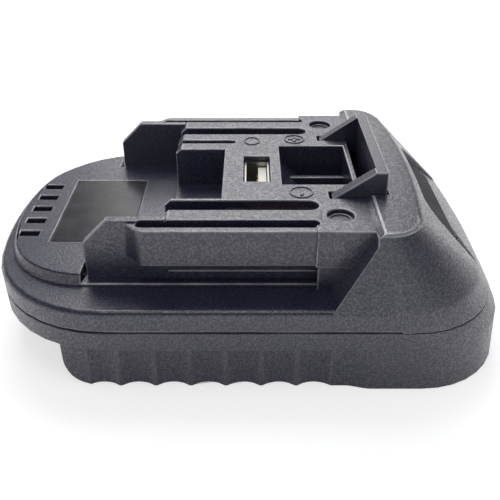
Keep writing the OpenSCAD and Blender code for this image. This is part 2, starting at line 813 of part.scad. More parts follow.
module lower_bosses() {
    at_pad_screws() translate([0, 0, floor_z - eps]) cylinder(d = boss_d, h = boss_split_z - floor_z + eps);
    at_rear_screws() translate([0, 0, floor_z - eps]) cylinder(d = boss_d, h = boss_split_z - floor_z + eps);
    for (p = board_posts()) translate([p[0], p[1], floor_z - eps])
        cylinder(d = post_d, h = board_z - floor_z + eps);
    for (s = [-1, 1]) translate([spring_x, s * half(spring_spacing), spring_seat_z - eps])
        cylinder(d = spring_inner_d - 2 * peg_gap, h = spring_peg_h + eps);
}

module lower_cuts() {
    at_pad_screws() translate([0, 0, skirt_h + hole_floor])
        cylinder(d = screw_d + 2 * shank_gap, h = parting_z);
    at_rear_screws() {
        translate([0, 0, -run]) cylinder(d = screw_recess_d, h = rear_head_z + run + screw_head_h);
        translate([0, 0, -run]) cylinder(d = screw_d + 2 * shank_gap, h = top_z);
    }
    for (p = board_posts()) translate([p[0], p[1], floor_z + post_floor])
        cylinder(d = board_screw_d + 2 * shank_gap, h = parting_z);
    for (y = blade_places()) block(
        [tail_x0 - blade_gap, y - half(blade_t) - blade_gap, skirt_h - run],
        [tail_x1 + blade_gap, y + half(blade_t) + blade_gap, floor_z + run]);
}

module lower_housing() {
    color("#26272b") difference() {
        union() {
            difference() {
                lower_form();
                grip_flutes();
                pack_channel();
                lower_hollow();
            }
            pack_rails();
            lower_bosses();
        }
        lower_cuts();
    }
}

label_gap = 0.25;
label_sink = 0.05;

module label_plate() {
    color("#3c3d40") block(
        [label_x + label_gap, -half(label_w) + label_gap, deck_z - label_recess],
        [label_x + label_len - label_gap, half(label_w) - label_gap, deck_z - label_sink]);
}

// Latch: two ramps and a rear wall on top, a yoke inside that carries the button
yoke_w = hook_w - 2 * ramp_t;
hook_land = 0.2;

module release_latch() {
    color("#2a2b2f") {
        both_sides() translate([0, half(hook_w - ramp_t), 0]) across([
            [ramp_x0, top_z - ramp_deep], [hook_x0 + eps, top_z - ramp_deep], [hook_x0 + eps, hook_z],
            [hook_x0 - hook_land, hook_z], [ramp_x0, top_z - lip_drop]
        ], ramp_t);
        block([hook_x0, -half(hook_w), yoke_z], [hook_x1, half(hook_w), hook_z]);
        block([hook_x0, -half(yoke_w), yoke_z], [button_x1, half(yoke_w), yoke_top]);
    }
}

module release_button() {
    color("#1f2023") across([
        [button_x0, yoke_top], [button_x1, yoke_top],
        [button_x1, scoop_z(button_x1) + button_proud], [button_x0, scoop_z(button_x0) + button_proud]
    ], button_w);
}

// Coil spring: one tube swept along a helix of even pitch
coil_sides = 6;
coil_rings = 8;
spring_z0 = spring_seat_z + half(spring_wire);
spring_z1 = yoke_z - half(spring_wire);
coil_r = half(spring_d - spring_wire);
coil_pitch = (spring_z1 - spring_z0) / spring_turns;
coil_steps = coil_rings * spring_turns;

// Point j on ring i of a coil, and the least gap between two turns, both at a given pitch
function coil_point(i, j, pitch) =
    let (a = 360 * i / coil_rings, b = 360 * j / coil_sides, r = coil_r + half(spring_wire) * cos(b))
    [r * cos(a), r * sin(a), spring_z0 + pitch * i / coil_rings + half(spring_wire) * sin(b)];
function coil_gap(pitch) = min([for (j = [0:coil_sides - 1]) for (k = [0:coil_sides - 1])
    norm(coil_point(coil_rings, j, pitch) - coil_point(0, k, pitch))]);
echo(coil_gap_at_rest = coil_gap(coil_pitch));
echo(coil_gap_pressed = coil_gap(coil_pitch - latch_travel / spring_turns));

module coil_spring() {
    n = coil_sides;
    points = [for (i = [0:coil_steps]) for (j = [0:n - 1]) coil_point(i, j, coil_pitch)];
    polyhedron(points = points, faces = concat(
        [[for (j = [0:n - 1]) n - 1 - j]],
        [[for (j = [0:n - 1]) coil_steps * n + j]],
        [for (i = [0:coil_steps - 1]) for (j = [0:n - 1]) let (k = (j + 1) % n)
            [i * n + j, (i + 1) * n + k, (i + 1) * n + j]],
        [for (i = [0:coil_steps - 1]) for (j = [0:n - 1]) let (k = (j + 1) % n)
            [i * n + j, i * n + k, (i + 1) * n + k]]
    ), convexity = 8);
}

module latch_spring_left() {
    color("#b9bcc0") translate([spring_x, half(spring_spacing), 0]) coil_spring();
}

module latch_spring_right() {
    color("#b9bcc0") translate([spring_x, -half(spring_spacing), 0]) coil_spring();
}

// Circuit board on four posts
board_drop = 0.1;
board_z = parting_z - board_drop;
board_top = board_z + board_t;
board_x1 = slot_end_x;
board_x0 = board_x1 - board_len;
post_d = 5;
board_screw_d = 1.8;
board_head_d = 3.6;
board_head_h = 1.1;
board_tip_gap = 0.5;
post_in = 3.5;
post_front = 17;
function board_posts() = [for (x = [board_x0 + post_in, board_x1 - post_front]) for (s = [-1, 1])
    [x, s * (half(board_w) - post_in)]];

module circuit_board() {
    color("#1f5a3a") difference() {
        block([board_x0, -half(board_w), board_z], [board_x1, half(board_w), board_top]);
        for (p = board_posts()) translate([p[0], p[1], board_z - run])
            cylinder(d = board_screw_d + 2 * shank_gap, h = board_t + 2 * run);
    }
}

module board_screws() {
    color("#c3c6ca") for (p = board_posts()) translate([p[0], p[1], 0]) {
        translate([0, 0, board_top]) cylinder(d = board_head_d, h = board_head_h);
        translate([0, 0, floor_z + board_tip_gap])
            cylinder(d = board_screw_d, h = board_top - floor_z - board_tip_gap + eps);
    }
}

// Charging socket, upright on the board under its opening in the platform
usb_x = pad_end_x - usb_setback;
usb_top = top_z - usb_sink;
tongue_t = 1.9;
tongue_w = 11.4;
tongue_shift = 0.35;
tongue_x = usb_x + tongue_shift;
tongue_drop = 1.2;
tongue_gap = 0.05;
usb_base = 3;
contact_t = 0.3;
contact_w = 1.2;
contact_pitch = 2.4;
contact_drop = 2.4;

module usb_shell() {
    color("#c9ccd0") difference() {
        translate([usb_x - half(usb_t), usb_y - half(usb_w), board_top])
            cube([usb_t, usb_w, usb_top - board_top]);
        translate([usb_x - half(usb_t) + usb_sheet, usb_y - half(usb_w) + usb_sheet, board_top - run])
            cube([usb_t - 2 * usb_sheet, usb_w - 2 * usb_sheet, top_z]);
    }
}

module usb_tongue() {
    inner_t = usb_t - 2 * usb_sheet - 2 * tongue_gap;
    inner_w = usb_w - 2 * usb_sheet - 2 * tongue_gap;
    color("#f1f1ee") {
        translate([usb_x - half(inner_t), usb_y - half(inner_w), board_top])
            cube([inner_t, inner_w, usb_base]);
        translate([tongue_x, usb_y - half(tongue_w), board_top + usb_base - eps])
            cube([tongue_t, tongue_w, usb_top - tongue_drop - board_top - usb_base]);
    }
}

module usb_contacts() {
    color("#cfa24a") for (i = [-1.5:1.5])
        translate([tongue_x - contact_t, usb_y + contact_pitch * i - half(contact_w), board_top + usb_base])
            cube([contact_t, contact_w, usb_top - contact_drop - board_top - usb_base]);
}

// Terminal clip: two sprung leaves that pinch the tool's blade under the slot
clip_setback = 2.4;
clip_x = slot_end_x - clip_setback - clip_len;
clip_side = 0.3;
clip_half = half(slot_w) + clip_side;
clip_drop = 0.5;
clip_top = top_z - wall - clip_drop;
// Half widths at the pinch and at the mouth
clip_pinch = 0.9;
clip_mouth = 1.7;

module clip_leaf() {
    h = clip_top - board_top;
    translate([clip_x, 0, board_top]) rotate([90, 0, 90]) linear_extrude(clip_len) polygon([
        [clip_half, 0], [clip_half, h * 0.55], [clip_pinch, h * 0.84], [clip_mouth, h],
        [clip_mouth - clip_sheet, h], [clip_pinch - clip_sheet, h * 0.84],
        [clip_half - clip_sheet, h * 0.5], [clip_half - clip_sheet, clip_sheet - eps],
        [0, clip_sheet - eps], [0, 0]
    ]);
}

module terminal_clip() {
    clip_leaf();
    mirror([0, 1, 0]) clip_leaf();
}

module positive_clip() {
    color("#c9a15a") translate([0, half(slot_spacing), 0]) terminal_clip();
}

module negative_clip() {
    color("#c9a15a") translate([0, -half(slot_spacing), 0]) terminal_clip();
}

// Contact blades for the pack, held in a carrier under the channel's roof
carrier_len = 12;
carrier_side = 6;
carrier_w = blade_spacing + 2 * carrier_side;
carrier_drop = 7.4;
carrier_x0 = stop_x - carrier_len;
blade_drop = 6.4;
blade_z0 = skirt_h - blade_drop;
blade_tip = 1.5;
tail_in = 5;
tail_len = 3;
tail_x1 = carrier_x0 + tail_in;
tail_x0 = tail_x1 - tail_len;
function blade_places() =
    [-half(blade_spacing), -half(sense_spacing), half(sense_spacing), half(blade_spacing)];

module blade_carrier() {
    color("#1b1c1f") difference() {
        block([carrier_x0, -half(carrier_w), skirt_h - carrier_drop], [stop_x, half(carrier_w), skirt_h]);
        for (y = blade_places()) {
            block([carrier_x0 - run, y - half(blade_t) - blade_gap, blade_z0 - blade_gap],
                  [tail_x1 + blade_gap, y + half(blade_t) + blade_gap, blade_z0 + blade_h + blade_gap]);
            block([tail_x0 - blade_gap, y - half(blade_t) - blade_gap, blade_z0],
                  [tail_x1 + blade_gap, y + half(blade_t) + blade_gap, skirt_h + run]);
        }
    }
}

// One blade: a tongue into the channel with a chamfered tip, and a tail up to the board
module blade(y) {
    tip = blade_tip;
    x0 = carrier_x0 - blade_reach;
    translate([0, y, 0]) across([
        [x0, blade_z0 + tip], [x0 + tip, blade_z0], [tail_x1, blade_z0], [tail_x1, board_z],
        [tail_x0, board_z], [tail_x0, blade_z0 + blade_h], [x0 + tip, blade_z0 + blade_h],
        [x0, blade_z0 + blade_h - tip]
    ], blade_t);
}

module positive_blade() {
    color("#c9a15a") blade(half(blade_spacing));
}

module negative_blade() {
    color("#c9a15a") blade(-half(blade_spacing));
}

module sense_blades() {
    color("#c9a15a") for (s = [-1, 1]) blade(s * half(sense_spacing));
}

// Parts of the 5 V supply on the board, placed from its rear or front end
inductor_place = [12, 8];
inductor_w = 9;
inductor_base = 1;
inductor_h = 3.4;
inductor_edge = 0.5;
capacitor_place = 5;
capacitor_d = 8;
capacitor_h = 6.5;
chip_place = [12, -6];
chip_size = [6, 5, 1.5];
diode_place = [20, 6];
diode_size = [4.4, 2.6, 2.1];

module inductor() {
    color("#4a4b4f") translate([board_x0 + inductor_place[0], inductor_place[1], board_top]) {
        translate([-half(inductor_w), -half(inductor_w), 0]) cube([inductor_w, inductor_w, inductor_base]);
        cylinder(d = inductor_w - 2 * inductor_edge, h = inductor_h);
    }
}

module capacitor() {
    color("#6d7075") translate([board_x1 - capacitor_place, 0, board_top])
        cylinder(d = capacitor_d, h = capacitor_h);
}

module regulator_chip() {
    color("#17181a") translate([board_x0 + chip_place[0], chip_place[1], board_top]) cube(chip_size);
}

module diode() {
    color("#17181a") translate([board_x0 + diode_place[0], diode_place[1], board_top]) cube(diode_size);
}

// Screw with a cross in its flat head, pointing down from z
cross_w = 0.8;
cross_depth = 0.8;
screw_tip_gap = 0.6;

module screw(z, shank_len) {
    translate([0, 0, z]) difference() {
        cylinder(d = screw_head_d, h = screw_head_h);
        for (a = [0, 90]) translate([0, 0, screw_head_h]) rotate([0, 0, a])
            cube([screw_head_d * 0.6, cross_w, 2 * cross_depth], center = true);
    }
    translate([0, 0, z - shank_len]) cylinder(d = screw_d, h = shank_len + eps);
}

module pad_screws() {
    color("#9a9da1") at_pad_screws() screw(pad_head_z, pad_head_z - skirt_h - hole_floor - screw_tip_gap);
}

// Flat caps over the pad screws, each with a dished top
cap_rim = 0.6;
cap_dish = 0.3;

module screw_caps() {
    cap_d = screw_recess_d - 2 * cap_gap;
    color("#26272b") at_pad_screws() translate([0, 0, cap_z]) difference() {
        cylinder(d = cap_d, h = cap_t);
        translate([0, 0, cap_t - cap_dish]) cylinder(d = cap_d - 2 * cap_rim, h = cap_t);
    }
}

module rear_screws() {
    head_z = rear_head_z + screw_head_h;
    color("#9a9da1") at_rear_screws() translate([0, 0, head_z]) mirror([0, 0, 1])
        screw(0, rear_tip_z - head_z - tip_gap);
}

upper_housing();
lower_housing();
label_plate();
release_latch();
release_button();
latch_spring_left();
latch_spring_right();
circuit_board();
usb_shell();
usb_tongue();
usb_contacts();
positive_clip();
negative_clip();
blade_carrier();
positive_blade();
negative_blade();
sense_blades();
inductor();
capacitor();
regulator_chip();
diode();
pad_screws();
screw_caps();
rear_screws();
board_screws();
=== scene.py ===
import json
import math

import bmesh
import bpy
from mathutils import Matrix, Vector

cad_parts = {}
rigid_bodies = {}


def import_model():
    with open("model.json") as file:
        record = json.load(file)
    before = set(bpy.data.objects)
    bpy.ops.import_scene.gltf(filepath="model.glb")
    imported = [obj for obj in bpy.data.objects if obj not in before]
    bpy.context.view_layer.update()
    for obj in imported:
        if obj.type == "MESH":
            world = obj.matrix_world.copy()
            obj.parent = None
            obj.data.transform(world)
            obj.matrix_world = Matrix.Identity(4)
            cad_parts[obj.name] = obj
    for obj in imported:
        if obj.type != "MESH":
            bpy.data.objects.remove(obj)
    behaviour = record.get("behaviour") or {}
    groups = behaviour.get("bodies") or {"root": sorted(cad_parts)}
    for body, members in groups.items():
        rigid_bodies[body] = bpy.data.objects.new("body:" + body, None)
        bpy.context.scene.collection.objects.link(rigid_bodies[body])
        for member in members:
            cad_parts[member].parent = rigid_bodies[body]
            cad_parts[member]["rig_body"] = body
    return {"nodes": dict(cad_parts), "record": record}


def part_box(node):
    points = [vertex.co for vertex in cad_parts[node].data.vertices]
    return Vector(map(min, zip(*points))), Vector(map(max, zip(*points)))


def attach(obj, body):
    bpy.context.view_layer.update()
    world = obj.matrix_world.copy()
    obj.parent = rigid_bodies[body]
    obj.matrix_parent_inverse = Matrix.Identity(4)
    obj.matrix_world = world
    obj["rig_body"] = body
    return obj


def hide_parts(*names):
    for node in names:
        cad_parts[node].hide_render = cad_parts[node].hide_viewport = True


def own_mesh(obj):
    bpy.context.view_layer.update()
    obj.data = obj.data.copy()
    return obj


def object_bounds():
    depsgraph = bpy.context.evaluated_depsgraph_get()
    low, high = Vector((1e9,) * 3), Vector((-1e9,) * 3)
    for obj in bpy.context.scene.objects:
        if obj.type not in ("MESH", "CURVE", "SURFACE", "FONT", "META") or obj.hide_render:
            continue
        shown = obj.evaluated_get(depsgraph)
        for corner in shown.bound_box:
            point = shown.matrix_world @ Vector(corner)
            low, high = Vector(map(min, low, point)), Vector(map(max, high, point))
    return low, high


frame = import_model()
cad_low, cad_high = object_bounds()
nodes = frame["nodes"]
SLOT_OF = {part["node"]: part["material_slot"] for part in frame["record"]["subparts"]}
MM = 0.001

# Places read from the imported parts
shell_low, shell_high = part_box("usb_shell")
SOCKET_SINK = 1.4 * MM
PLATFORM_Z = shell_high.z + SOCKET_SINK
SOCKET_X = 0.5 * (shell_low.x + shell_high.x)

# Copies of the CAD meshes: merging, and the edges that get rounded
MERGE_DISTANCE = 0.002 * MM
FLAT_DEGREES = 0.6
SHARP_DEGREES = 28
STRAIGHT_DEGREES = 150
ROOM_ALONE = 0.9
ROOM_SHARED = 0.45
BEVEL_SLOT = 1
WEAR_AND_HIGHLIGHT_NAME = "edge_wear_and_highlight"
SHELL_SMOOTH_DEGREES = 32
COIL_SMOOTH_DEGREES = 50
FLAT_FACE_WEIGHT = 100

# Rounded mouldings: radius of the edges, steps round them, and how rubbed they are, which also sets how
# strong their painted edge highlight is
MOULDINGS = (
    ("upper_housing", 0.3 * MM, 3, 1.0),
    ("lower_housing", 0.35 * MM, 3, 0.15),
    ("release_latch", 0.3 * MM, 3, 1.0),
    ("release_button", 0.5 * MM, 3, 0.5),
    ("label_plate", 0.06 * MM, 2, 0.6),
    ("screw_caps", 0.12 * MM, 2, 0.8),
)
SPRINGS = ("latch_spring_left", "latch_spring_right")

# Raised marks beside the terminal slots
MARK_WIDTH = 0.42 * MM
MARK_RISE = 0.22 * MM
MARK_SINK = 0.15 * MM
MARK_ROUND = 0.1 * MM
MARK_ROUND_STEPS = 3
MARK_SMOOTH_DEGREES = 40
RING_RADIUS = 2.65 * MM
RING_STEPS = 64
OVAL_RADIUS = 2.4 * MM
OVAL_SQUEEZE = 0.85
BAR = (0.8 * MM, 3.0 * MM)
MARK_X = SOCKET_X + 9.6 * MM
PLUS = Vector((MARK_X, 14.5 * MM, PLATFORM_Z))
MINUS = Vector((MARK_X, -14.4 * MM, PLATFORM_Z))
OVAL = Vector((SOCKET_X - 1.1 * MM, 13.3 * MM, PLATFORM_Z))

# Moulded grain: which part of the noise makes each effect, and how strong it is
PATCH_SCALE = 140.0
PATCH_NOISE = (0.35, 0.6)
PATCH_WEAR_AND_HIGHLIGHT = (0.4, 1.0)
ROUGH_NOISE = (0.3, 0.7)
ROUGH_SPREAD = (-0.05, 0.05)
GLOSSY_NOISE = (0.44, 0.62)
PALE_NOISE = (0.45, 0.75)
EDGE_POLISH = 0.1
# Paler colour on the rubbed edges: partly wear, partly a painted highlight along the edges
EDGE_PALE_WEAR_AND_HIGHLIGHT = 0.26
COAT_ROUGHNESS = 0.28

# Sheet metal: drawn lines that run upwards, and soft spots
LINE_STRETCH = (1.0, 1.0, 0.08)
LINE_BUMP = 0.7
SPOT_SCALE = 400.0
SPOT_ROUGHNESS = (-0.08, 0.12)
SPOT_TINT = (0.82, 0.8, 0.78, 1)

# Studio
FLOOR_SIZE = 4.0
FLOOR_CENTRE = (0, 0.4, 0)
FLOOR_GREY = (0.5, 0.5, 0.5, 1)
FLOOR_ROUGHNESS = 0.7
FLOOR_SPECULAR = 0.1
FLOOR_GLOW = 0.64
SHADE_REACH = (1.05, 1.7)
SHADE_LEVEL = (0.35, 1.0)
SKY_COLOUR = (0.95, 0.97, 1.0, 1)
SKY_STRENGTH = 0.5
WHITE = (1, 1, 1, 1)
OVERHEAD_REACH = (0.12, 0.45)
OVERHEAD_LEVEL = (1.0, 0.1)
NOSE_SIDE_REACH = (0.4, 0.85)
NOSE_SIDE_LEVEL = (1.0, 0.35)

# Lamps: name, place, what they face, width and height, power
PART_MIDDLE = (0, 0, 0.03)
NOSE_FOLD = (0.04, -0.01, 0.025)
LAMPS = (
    ("back_key", (-0.04, 0.36, 0.62), PART_MIDDLE, (0.4, 0.3), 2.3),
    ("back_sheen", (0.0, 0.55, 0.38), PART_MIDDLE, (0.36, 0.3), 0.7),
    ("top_fill", (-0.04, -0.1, 0.65), PART_MIDDLE, (0.26, 0.26), 0.6),
    ("fold_light", (0.5, 0.26, 0.17), NOSE_FOLD, (0.16, 0.16), 0.15),
)

# Camera, fitted to the straight edges of the photograph
CAMERA_PLACE = (0, -141.3 * MM, 102.0 * MM)
CAMERA_DOWN_DEGREES = 32.71
SENSOR_WIDTH = 36.0
FOCAL_PIXELS = 657.2
IMAGE_PIXELS = 500.0
NEAR_CLIP = 0.005


def select_only(piece):
    bpy.ops.object.select_all(action="DESELECT")
    piece.select_set(True)
    bpy.context.view_layer.objects.active = piece


def settle(piece):
    """Puts a piece's place into its mesh."""
    select_only(piece)
    bpy.ops.object.transform_apply(location=True, rotation=True, scale=True)


def apply_modifiers(piece):
    select_only(piece)
    for name in [modifier.name for modifier in piece.modifiers]:
        bpy.ops.object.modifier_apply(modifier=name)


def smooth(piece, degrees):
    select_only(piece)
    bpy.ops.object.shade_smooth_by_angle(angle=math.radians(degrees))


def cad_copy(node, name, flatten):
    """A merged copy of a CAD node's mesh; flatten also joins its coplanar triangles."""
    piece = bpy.data.objects.new(name, nodes[node].data.copy())
    bpy.context.scene.collection.objects.link(piece)
    select_only(piece)
    bpy.ops.object.mode_set(mode="EDIT")
    bpy.ops.mesh.select_all(action="SELECT")
    bpy.ops.mesh.remove_doubles(threshold=MERGE_DISTANCE)
    if flatten:
        bpy.ops.mesh.dissolve_limited(angle_limit=math.radians(FLAT_DEGREES))
    bpy.ops.mesh.customdata_custom_splitnormals_clear()
    bpy.ops.object.mode_set(mode="OBJECT")
    return piece


# Rounded edges
def edge_room(edge, marked, width):
    """How much of the bevel's width fits beside an edge, from 0 to 1."""
    room = 1.0
    for corner in edge.verts:
        along = edge.other_vert(corner).co - corner.co
        for face in edge.link_faces:
            side = next(e for e in face.edges if e is not edge and corner in e.verts)
            far_end = side.other_vert(corner)
            turn = along.angle(far_end.co - corner.co)
            if turn > math.radians(STRAIGHT_DEGREES):
                continue
            shared = any(e in marked for e in far_end.link_edges if e is not side)
            share = ROOM_SHARED if shared else ROOM_ALONE
            reach = side.calc_length() * math.sin(turn) * share
            room = min(room, reach / width)
    return room


def mark_edges(piece, width):
    """Weights the outward edges of a piece for its bevel, less where there is little room."""
    mesh = bmesh.new()
    mesh.from_mesh(piece.data)
    mesh.normal_update()
    weight = mesh.edges.layers.float.new("bevel_weight_edge")
    limit = math.radians(SHARP_DEGREES)
    marked = {e for e in mesh.edges if e.is_convex and e.calc_face_angle(0.0) > limit}
    for edge in marked:
        edge[weight] = edge_room(edge, marked, width)
    mesh.to_mesh(piece.data)
    mesh.free()


def keep_in_box(piece, node):
    """Holds the rounded copy within the box of the node that it stands for."""
    low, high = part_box(node)
    for vertex in piece.data.vertices:
        for axis in range(3):
            vertex.co[axis] = min(max(vertex.co[axis], low[axis]), high[axis])


def note_worn_and_highlit_faces(piece, wear_and_highlight):
    """Turns the bevel's faces, marked by their slot, into an attribute for the edge wear and the painted
    edge highlight.
    """
    faces = piece.data.polygons
    worn_and_highlit = piece.data.attributes.new(WEAR_AND_HIGHLIGHT_NAME, "FLOAT", "FACE")
    for face, value in zip(faces, worn_and_highlit.data):
        value.value = wear_and_highlight if face.material_index == BEVEL_SLOT else 0.0
    for face in faces:
        face.material_index = 0


def softened(node, name, width, segments, wear_and_highlight):
    """A copy of a CAD node with rounded edges, shown in its place."""
    piece = cad_copy(node, name, flatten=True)
    mark_edges(piece, width)
    piece.data.materials.append(None)
    bevel = piece.modifiers.new("edges", "BEVEL")
    bevel.width = width
    bevel.segments = segments
    bevel.limit_method = "WEIGHT"
    bevel.use_clamp_overlap = False
    bevel.material = BEVEL_SLOT
    apply_modifiers(piece)
    keep_in_box(piece, node)
    note_worn_and_highlit_faces(piece, wear_and_highlight)
    smooth(piece, SHELL_SMOOTH_DEGREES)
    even = piece.modifiers.new("even", "WEIGHTED_NORMAL")
    even.keep_sharp = True
    even.weight = FLAT_FACE_WEIGHT
    apply_modifiers(piece)
    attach(piece, nodes[node]["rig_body"])
    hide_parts(node)
    return piece


# Shader parts
def group(name, inputs, outputs):
    tree = bpy.data.node_groups.new(name, "ShaderNodeTree")
    for label, kind, value in inputs:
        socket = tree.interface.new_socket(name=label, in_out="INPUT", socket_type=kind)
        socket.default_value = value
    for label, kind in outputs:
        tree.interface.new_socket(name=label, in_out="OUTPUT", socket_type=kind)
    return tree, tree.nodes.new("NodeGroupInput"), tree.nodes.new("NodeGroupOutput")


def feed(tree, socket, source):
    """Links an output to a socket, or sets the socket to a plain value."""
    if isinstance(source, bpy.types.NodeSocket):
        tree.links.new(source, socket)
    else:
        socket.default_value = source


def noise(tree, place, scale, detail=2.0, roughness=0.5):
    made = tree.nodes.new("ShaderNodeTexNoise")
    feed(tree, made.inputs["Vector"], place)
    feed(tree, made.inputs["Scale"], scale)
    feed(tree, made.inputs["Detail"], detail)
    feed(tree, made.inputs["Roughness"], roughness)
    return made.outputs["Fac"]


def remap(tree, source, before, after):
    """Carries one range of values over to another, held at its ends."""
    made = tree.nodes.new("ShaderNodeMapRange")
    feed(tree, made.inputs["Value"], source)
    for label, value in zip(("From Min", "From Max"), before):
        feed(tree, made.inputs[label], value)
    for label, value in zip(("To Min", "To Max"), after):
        feed(tree, made.inputs[label], value)
    return made.outputs["Result"]


def combine(tree, operation, *values):
    """One step of arithmetic on outputs and plain numbers."""
    made = tree.nodes.new("ShaderNodeMath")
    made.operation = operation
    for socket, value in zip(made.inputs, values):
        feed(tree, socket, value)
    return made.outputs["Value"]


def mixed(tree, blend, amount, under, over):
    made = tree.nodes.new("ShaderNodeMixRGB")
    made.blend_type = blend
    feed(tree, made.inputs["Fac"], amount)
    feed(tree, made.inputs["Color1"], under)
    feed(tree, made.inputs["Color2"], over)
    return made.outputs["Color"]


def bumped(tree, pattern, distance, strength):
    made = tree.nodes.new("ShaderNodeBump")
    feed(tree, made.inputs["Strength"], strength)
    feed(tree, made.inputs["Distance"], distance)
    feed(tree, made.inputs["Height"], pattern)
    return made.outputs["Normal"]


def grain_group():
    """Spark-eroded grain: a bump, glossy and pale peaks, and edges rubbed smooth and made paler, partly
    as wear and partly as a painted highlight.
    """
    tree, start, end = group(
        "moulded_grain",
        [("Scale", "NodeSocketFloat", 2600.0), ("Height", "NodeSocketFloat", 0.0001),
         ("Roughness", "NodeSocketFloat", 0.5), ("Base", "NodeSocketColor", (0.03, 0.03, 0.03, 1)),
         ("Fleck", "NodeSocketFloat", 0.3), ("Wear", "NodeSocketFloat", 0.0),
         ("Sparkle", "NodeSocketFloat", 0.0)],
        [("Color", "NodeSocketColor"), ("Roughness", "NodeSocketFloat"), ("Normal", "NodeSocketVector"),
         ("Coat", "NodeSocketFloat")],
    )
    given = start.outputs
    place = tree.nodes.new("ShaderNodeTexCoord").outputs["Object"]
    fine = noise(tree, place, given["Scale"], roughness=0.6)
    broad = noise(tree, place, PATCH_SCALE, detail=3.0)
    feed(tree, end.inputs["Normal"], bumped(tree, fine, given["Height"], 1.0))

    # Rubbed edges with a painted highlight: the bevel's faces, broken up by the broad noise
    edge = tree.nodes.new("ShaderNodeAttribute")
    edge.attribute_name = WEAR_AND_HIGHLIGHT_NAME
    patch = remap(tree, broad, PATCH_NOISE, PATCH_WEAR_AND_HIGHLIGHT)
    rubbed_and_highlit = combine(tree, "MULTIPLY", edge.outputs["Fac"], patch)
    worn_and_highlit = combine(tree, "MULTIPLY", rubbed_and_highlit, given["Wear"])

    # Roughness: broad patches, smoother on the rubbed edges
    spread = remap(tree, broad, ROUGH_NOISE, ROUGH_SPREAD)
    rough = combine(tree, "ADD", given["Roughness"], spread)
    feed(tree, end.inputs["Roughness"], combine(tree, "MULTIPLY_ADD", worn_and_highlit, -EDGE_POLISH, rough))

    # Coat: glossy peaks of the grain, and the rubbed edges
    peak = remap(tree, fine, GLOSSY_NOISE, (0.0, given["Sparkle"]))
    feed(tree, end.inputs["Coat"], combine(tree, "MAXIMUM", peak, worn_and_highlit))

    # Colour: pale flecks on the grain's peaks, greyer on the rubbed edges, partly as wear and partly as
    # a painted highlight
    fleck = remap(tree, fine, PALE_NOISE, (0.0, given["Fleck"]))
    pale_flecks_and_edge_highlight = combine(tree, "MULTIPLY_ADD", worn_and_highlit, EDGE_PALE_WEAR_AND_HIGHLIGHT, fleck)
    feed(tree, end.inputs["Color"], mixed(tree, "SCREEN", 1.0, given["Base"], pale_flecks_and_edge_highlight))
    return tree


def sheet_group():
    """Sheet metal: fine drawn lines along one axis and soft spots."""
    tree, start, end = group(
        "sheet_metal",
        [("Scale", "NodeSocketFloat", 2500.0), ("Height", "NodeSocketFloat", 0.000004),
         ("Roughness", "NodeSocketFloat", 0.25), ("Base", "NodeSocketColor", (0.7, 0.7, 0.7, 1))],
        [("Color", "NodeSocketColor"), ("Roughness", "NodeSocketFloat"), ("Normal", "NodeSocketVector")],
    )
    given = start.outputs
    place = tree.nodes.new("ShaderNodeTexCoord").outputs["Object"]
    stretch = tree.nodes.new("ShaderNodeMapping")
    feed(tree, stretch.inputs["Vector"], place)
    feed(tree, stretch.inputs["Scale"], LINE_STRETCH)
    lines = noise(tree, stretch.outputs["Vector"], given["Scale"], detail=3.0)
    feed(tree, end.inputs["Normal"], bumped(tree, lines, given["Height"], LINE_BUMP))
    spots = noise(tree, place, SPOT_SCALE)
    spread = remap(tree, spots, (0.0, 1.0), SPOT_ROUGHNESS)
    feed(tree, end.inputs["Roughness"], combine(tree, "ADD", given["Roughness"], spread))
    feed(tree, end.inputs["Color"], mixed(tree, "MULTIPLY", spots, given["Base"], SPOT_TINT))
    return tree


def material(name, tree, metallic=0.0, specular=0.5, **settings):
    """A material whose colour, roughness, normal and coat come from one of the groups."""
    made = bpy.data.materials.new(name)
    made.use_nodes = True
    shader = made.node_tree.nodes["Principled BSDF"]
    shader.inputs["Metallic"].default_value = metallic
    shader.inputs["Specular IOR Level"].default_value = specular
    shader.inputs["Coat Roughness"].default_value = COAT_ROUGHNESS
    finish = made.node_tree.nodes.new("ShaderNodeGroup")
    finish.node_tree = tree
    for label, value in settings.items():
        finish.inputs[label].default_value = value
    for label, socket in (("Color", "Base Color"), ("Roughness", "Roughness"), ("Normal", "Normal")):
        made.node_tree.links.new(finish.outputs[label], shader.inputs[socket])
    if "Sparkle" in settings or "Wear" in settings:
        made.node_tree.links.new(finish.outputs["Coat"], shader.inputs["Coat Weight"])
    return made


def plastic(name, **settings):
    finish_of[name] = material(name, grain, **settings)


def metal(name, roughness, base):
    finish_of[name] = material(name, sheet, metallic=1.0, Roughness=roughness, Base=base)


finish_of = {}
grain = grain_group()
sheet = sheet_group()
plastic("black_plastic", specular=0.8, Scale=2300.0, Height=0.00009, Roughness=0.33,
        Base=(0.016, 0.016, 0.04, 1), Fleck=0.02, Wear=1.0, Sparkle=1.0)
plastic("latch_plastic", specular=0.9, Scale=2600.0, Height=0.00005, Roughness=0.32,
        Base=(0.02, 0.02, 0.04, 1), Fleck=0.015, Wear=1.0, Sparkle=0.5)
plastic("button_plastic", specular=0.25, Scale=1500.0, Height=0.00002, Roughness=0.62,
        Base=(0.006, 0.006, 0.011, 1), Fleck=0.004, Wear=0.5)
plastic("carrier_plastic", specular=0.7, Scale=1800.0, Height=0.00002, Roughness=0.4,
        Base=(0.01, 0.01, 0.014, 1), Fleck=0.006)
plastic("label_film", Scale=1200.0, Height=0.00001, Roughness=0.26,
        Base=(0.016, 0.016, 0.02, 1), Fleck=0.008, Wear=0.6)
plastic("board_laminate", Scale=700.0, Height=0.00001, Roughness=0.32,
        Base=(0.006, 0.055, 0.024, 1), Fleck=0.01)
